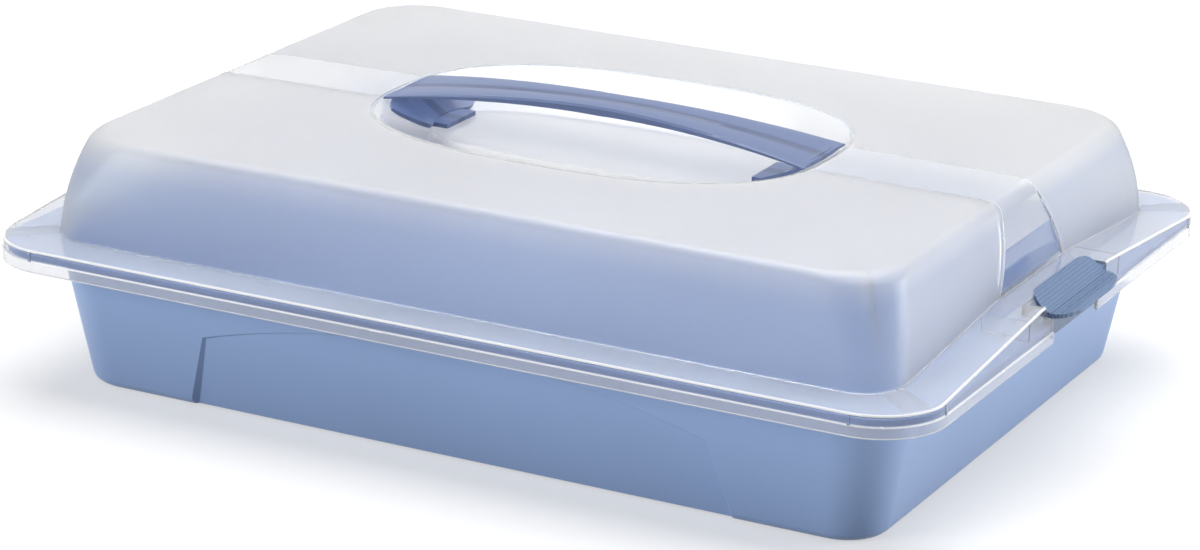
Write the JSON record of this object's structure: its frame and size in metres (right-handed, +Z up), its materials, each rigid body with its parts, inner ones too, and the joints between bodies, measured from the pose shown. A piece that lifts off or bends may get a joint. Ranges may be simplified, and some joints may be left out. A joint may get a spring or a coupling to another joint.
{
  "type": "cake carrier",
  "caption": "Rectangular cake carrier: a tray, a frosted domed lid that lifts off, a carrying handle set in the lid, and a snap latch at each short end.",
  "frame": {"origin": "middle of the base, on the surface the tray rests on", "axes": "+X along the long side towards the right latch, +Y across the tray towards the back, +Z up"},
  "size_m": [0.47, 0.342, 0.1258],
  "materials": {
    "blue_plastic": "satin",
    "frosted_plastic": "frosted, with polished bands",
    "handle_plastic": "satin",
    "latch_plastic": "semi-gloss"
  },
  "bodies": {
    "tray": {"tray": "blue_plastic"},
    "lid": {"lid": "frosted_plastic", "handle": "handle_plastic"},
    "latch_right": {"latch_right": "latch_plastic"},
    "latch_left": {"latch_left": "latch_plastic"}
  },
  "joints": [
    {"name": "lid_lift", "type": "slide", "parent": "tray", "child": "lid", "axis": [0, 0, 1], "range_m": [0, 0.12]},
    {"name": "latch_right_hinge", "type": "hinge", "parent": "tray", "child": "latch_right", "pos_m": [0.219, 0, 0.0645], "axis": [0, 1, 0], "range_deg": [0, 90]},
    {"name": "latch_left_hinge", "type": "hinge", "parent": "tray", "child": "latch_left", "pos_m": [-0.219, 0, 0.0645], "axis": [0, -1, 0], "range_deg": [0, 90]}
  ]
}
